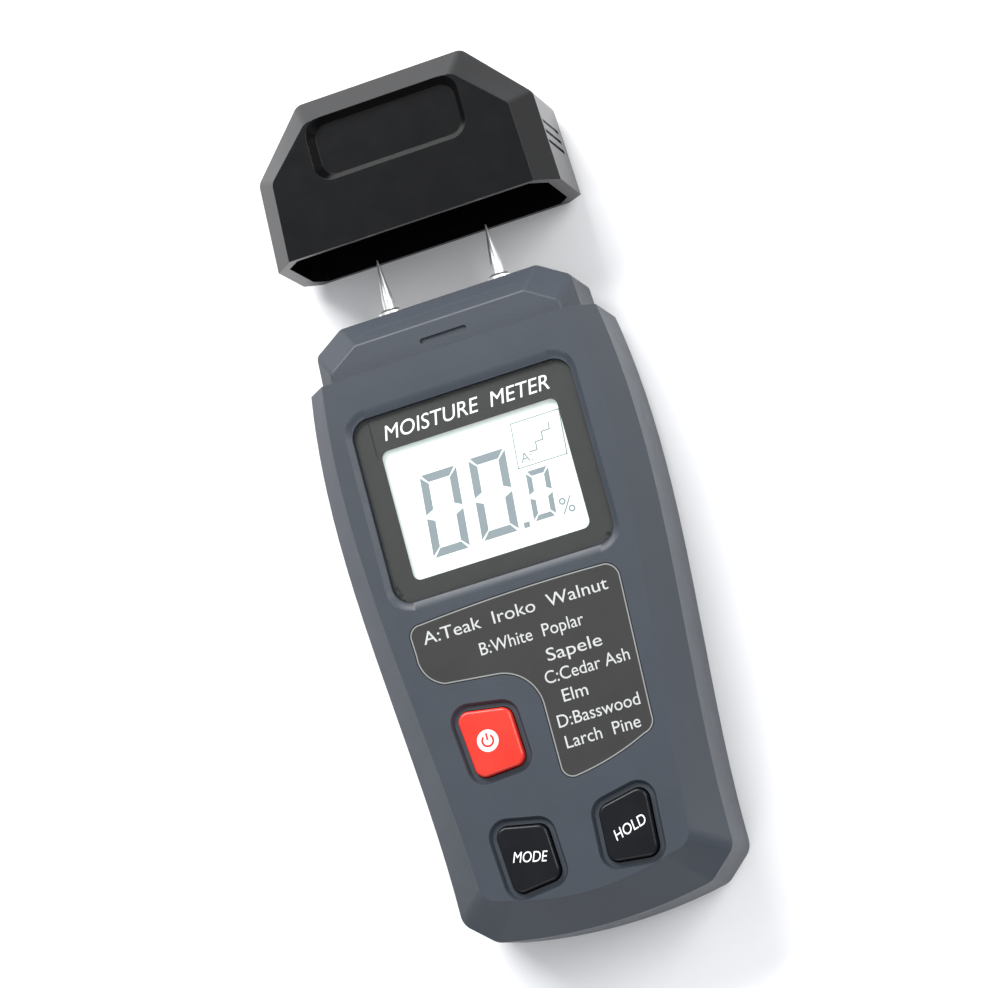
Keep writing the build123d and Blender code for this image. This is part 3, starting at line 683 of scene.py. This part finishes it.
class METER_OT_legend(bpy.types.Operator):
    """Legend film under the display with its border and lettering."""

    bl_idname = "meter.legend"
    bl_label = "Legend"

    def execute(self, context):
        sizes = context.scene.meter_prints
        dress(["legend_label"], legend_film())
        low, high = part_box("legend_label")
        level = high.z + PRINT_RISE
        border_inset = 0.12 * MM
        facing_up = 0.9  # least upward part of the normal of a top face
        border = merged_copy("legend_label", "legend_border")
        only(border)
        bpy.ops.object.mode_set(mode="EDIT")
        mesh = bmesh.from_edit_mesh(border.data)
        below = [face for face in mesh.faces if face.normal.z < facing_up]
        bmesh.ops.delete(mesh, geom=below, context="FACES")
        bmesh.update_edit_mesh(border.data)
        bpy.ops.mesh.select_all(action="SELECT")
        bpy.ops.mesh.dissolve_faces()
        bpy.ops.mesh.inset(thickness=border_inset)
        mesh = bmesh.from_edit_mesh(border.data)
        kept = [face for face in mesh.faces if face.select]
        outside = [face for face in mesh.faces if not face.select]
        bmesh.ops.delete(mesh, geom=outside, context="FACES")
        for face in kept:
            face.select = True
        bmesh.update_edit_mesh(border.data)
        bpy.ops.mesh.inset(thickness=sizes.border_width)
        mesh = bmesh.from_edit_mesh(border.data)
        inside = [face for face in mesh.faces if face.select]
        bmesh.ops.delete(mesh, geom=inside, context="FACES")
        bmesh.update_edit_mesh(border.data)
        bpy.ops.object.mode_set(mode="OBJECT")
        border.location.z = PRINT_RISE
        ink = pale_ink()
        settle(border, "meter", "white_print", border_ink())

        # left end, width and baseline of each line, from the label's top left corner
        lines = (
            ("A:Teak  Iroko  Walnut", 2.7, 40.8, -5.6),
            ("B:White  Poplar", 13.6, 22.8, -11.2),
            ("Sapele", 27.0, 12.0, -16.4),
            ("C:Cedar Ash", 25.4, 18.4, -20.9),
            ("Elm", 27.9, 5.4, -25.4),
            ("D:Basswood", 25.5, 17.8, -30.3),
            ("Larch  Pine", 26.0, 16.2, -34.8),
        )
        for number, (words, start, width, drop) in enumerate(lines, 1):
            name, place = f"legend_line_{number}", (low.x + start * MM, high.y + drop * MM, level)
            printed_text(name, words, sizes.legend_height, place, ink, "meter", width * MM)
        return {"FINISHED"}


class METER_OT_keys(bpy.types.Operator):
    """Power, mode and hold keys with their symbols."""

    bl_idname = "meter.keys"
    bl_label = "Keys"

    def execute(self, context):
        red, black, white = red_key_abs(), black_key_abs(), white_ink()
        for name, plastic, slot_name in (
            ("power_key", red, "red_key"),
            ("mode_key", black, "black_key"),
            ("hold_key", black, "black_key"),
        ):
            piece = soften(merged_copy(name, name + "_cap"), 0.25 * MM, 35.0, 2)
            settle(piece, name, slot_name, plastic, name)
        dress(["power_disc"], white)
        height, half_width, drop = 2.3 * MM, 3.7 * MM, 1.1 * MM
        right, down = 0.2 * MM, 0.3 * MM  # from the middle of the key
        for words, key, turn in (("MODE", "mode_key", -13), ("HOLD", "hold_key", 15)):
            centre = middle(key)
            angle = math.radians(turn)
            place = (
                centre.x + right - half_width * math.cos(angle) + drop * math.sin(angle),
                centre.y - down - half_width * math.sin(angle) - drop * math.cos(angle),
                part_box(key)[1].z + PRINT_RISE,
            )
            name = words.lower() + "_print"
            printed_text(name, words, height, place, white, key, 2 * half_width, slant=0.2, turn=angle)
        self.power_symbol(red)
        return {"FINISHED"}

    def power_symbol(self, ink):
        """Broken ring with a short bar through its gap."""
        centre = middle("power_disc")
        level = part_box("power_disc")[1].z + PRINT_RISE
        inner, outer, gap = 0.95 * MM, 1.4 * MM, math.radians(38)
        steps = 28
        angles = [math.pi / 2 + gap + (2 * math.pi - 2 * gap) * i / steps for i in range(steps + 1)]

        def arc(radius, turns):
            return [(centre.x + radius * math.cos(a), centre.y + radius * math.sin(a)) for a in turns]

        ring = arc(outer, angles) + arc(inner, reversed(angles))
        left, right = centre.x - 0.22 * MM, centre.x + 0.22 * MM
        foot, head = centre.y + 0.1 * MM, centre.y + 1.6 * MM
        bar = [(left, foot), (right, foot), (right, head), (left, head)]
        shapes = [flat_shape("ring", ring, level), flat_shape("bar", bar, level)]
        settle(join_shapes(shapes, "power_symbol"), "power_key", "red_key", ink)


class METER_OT_metal(bpy.types.Operator):
    """Pins, collars, screws and contacts."""

    bl_idname = "meter.metal"
    bl_label = "Pins and screws"

    def execute(self, context):
        dress(["left_pin", "right_pin", "pin_collars", "battery_terminals"], plated_steel())
        dress(["case_screws", "board_screws"], zinc_steel())
        dress(["pin_sockets", "contact_strips"], turned_brass())
        return {"FINISHED"}


class METER_OT_inside(bpy.types.Operator):
    """Board, chips, battery, leads and the plate on the back."""

    bl_idname = "meter.inside"
    bl_label = "Inner pieces"

    def execute(self, context):
        dress(["main_board"], board_laminate())
        epoxy = dark_epoxy()
        dress(["controller_chip", "board_components", "tact_switches", "battery_snap"], epoxy)
        dress(["power_plunger", "mode_plunger", "hold_plunger"], epoxy)
        dress(["battery"], battery_jacket())
        dress(["red_lead"], red_pvc())
        dress(["black_lead"], black_pvc())
        dress(["battery_pad"], cell_foam())
        dress(["rating_plate"], rating_film())
        return {"FINISHED"}


class METER_PT_panel(bpy.types.Panel):
    """Sizes and colours, and a button for each step."""

    bl_idname = "METER_PT_panel"
    bl_label = "Moisture Meter"
    bl_space_type = "VIEW_3D"
    bl_region_type = "UI"
    bl_category = "Moisture Meter"

    def draw(self, context):
        layout = self.layout
        for group in (context.scene.meter_shells, context.scene.meter_prints):
            for key in group.bl_rna.properties.keys():
                if key not in ("rna_type", "name"):
                    layout.prop(group, key)
        for step in STEPS:
            layout.operator(step.bl_idname)


STEPS = (
    METER_OT_stage,
    METER_OT_shells,
    METER_OT_cap,
    METER_OT_display,
    METER_OT_legend,
    METER_OT_keys,
    METER_OT_metal,
    METER_OT_inside,
)
CLASSES = (MeterShells, MeterPrints, *STEPS, METER_PT_panel)


def register():
    for cls in CLASSES:
        bpy.utils.register_class(cls)
    bpy.types.Scene.meter_shells = bpy.props.PointerProperty(type=MeterShells)
    bpy.types.Scene.meter_prints = bpy.props.PointerProperty(type=MeterPrints)


def unregister():
    del bpy.types.Scene.meter_prints
    del bpy.types.Scene.meter_shells
    for cls in reversed(CLASSES):
        bpy.utils.unregister_class(cls)


def main():
    """Register the add-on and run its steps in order."""
    register()
    for step in STEPS:
        family, action = step.bl_idname.split(".")
        getattr(getattr(bpy.ops, family), action)()


if __name__ == "__main__":
    main()
